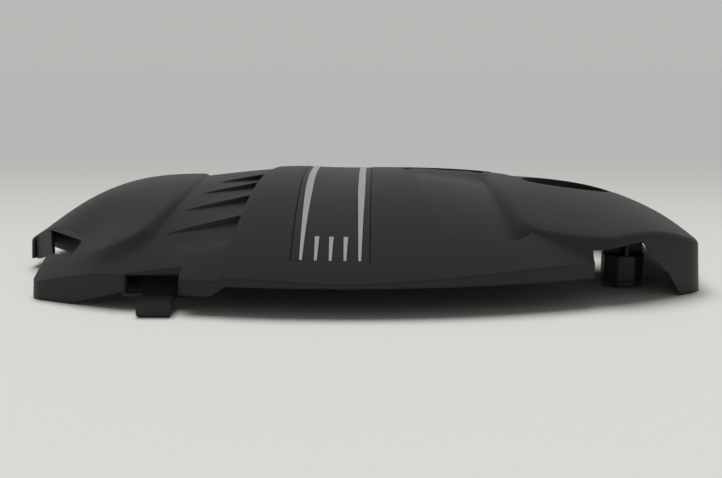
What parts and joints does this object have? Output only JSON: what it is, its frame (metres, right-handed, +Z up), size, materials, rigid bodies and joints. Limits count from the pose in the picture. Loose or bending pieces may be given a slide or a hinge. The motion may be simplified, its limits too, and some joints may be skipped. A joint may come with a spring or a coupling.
{
  "type": "engine cover",
  "caption": "Thin black moulded engine cover with crowned top, side gills, silver-barred trim strip, filler opening, notched skirt, rubber push-on mounts and foam underside.",
  "frame": {"origin": "middle of the bounding box, on the surface the cover lies on", "axes": "+X along the cover towards its filler opening, +Y away from the notched near side, +Z up through the crown"},
  "size_m": [0.576, 0.397, 0.0825],
  "materials": {
    "cover": "fine-grained satin black moulding",
    "strip": "smooth satin black insert",
    "bars": "silver-painted inlay",
    "foam": "open-pored dark foam",
    "mount_rubber": "plain black rubber"
  },
  "bodies": {
    "root": {"cover_shell": "cover", "trim_strip": "strip", "strip_bars": "bars", "foam_pad": "foam", "rubber_mount_front_right": "mount_rubber", "rubber_mount_front_left": "mount_rubber", "rubber_mount_rear_right": "mount_rubber", "rubber_mount_rear_left": "mount_rubber"}
  },
  "joints": []
}
